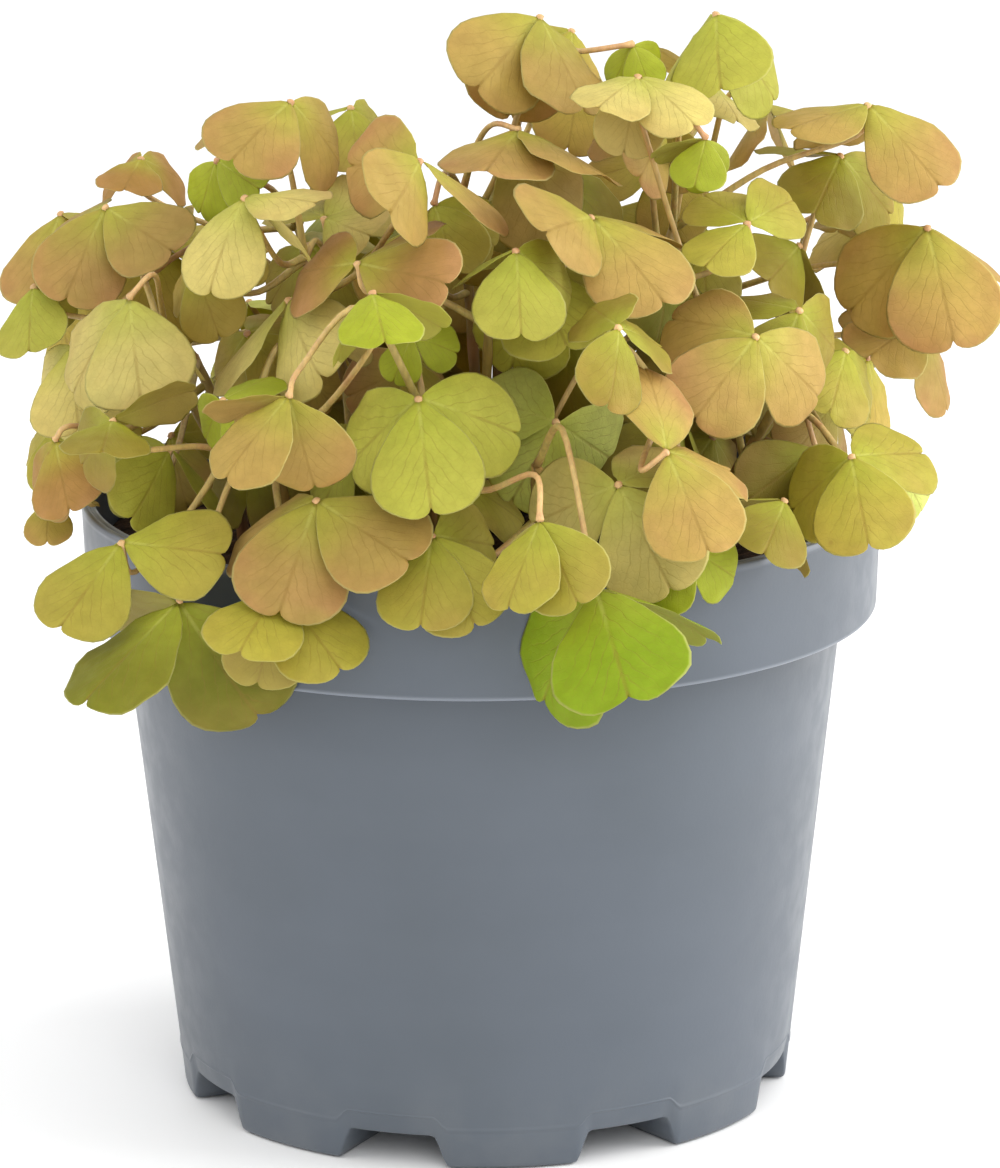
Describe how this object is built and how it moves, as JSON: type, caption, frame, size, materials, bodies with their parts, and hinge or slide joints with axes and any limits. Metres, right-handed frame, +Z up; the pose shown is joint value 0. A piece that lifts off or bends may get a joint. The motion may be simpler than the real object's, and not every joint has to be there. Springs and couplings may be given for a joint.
{
  "type": "potted oxalis plant",
  "caption": "Bushy shamrock plant with notched three-leaflet leaves on thin stalks, growing from soil in a round tapered plastic nursery pot with a stepped collar.",
  "frame": {"origin": "middle of the flat underside of the pot's feet, on the surface that it stands on", "axes": "+Z up along the pot's axis, -Y towards the viewer of the picture, +X to the viewer's right"},
  "size_m": [0.1533, 0.15, 0.164],
  "materials": {
    "pot": "satin",
    "soil": "matte",
    "foliage": "satin"
  },
  "bodies": {
    "root": {"pot": "pot", "soil": "soil", "leafy_stem_01": "foliage", "leafy_stem_02": "foliage", "leafy_stem_03": "foliage", "leafy_stem_04": "foliage", "leafy_stem_05": "foliage", "leafy_stem_06": "foliage", "leafy_stem_07": "foliage", "leafy_stem_08": "foliage", "leafy_stem_09": "foliage", "leafy_stem_10": "foliage", "leafy_stem_11": "foliage", "leafy_stem_12": "foliage", "leafy_stem_13": "foliage", "leafy_stem_14": "foliage", "leafy_stem_15": "foliage", "leafy_stem_16": "foliage", "leafy_stem_17": "foliage", "leafy_stem_18": "foliage", "leafy_stem_19": "foliage"}
  },
  "joints": []
}
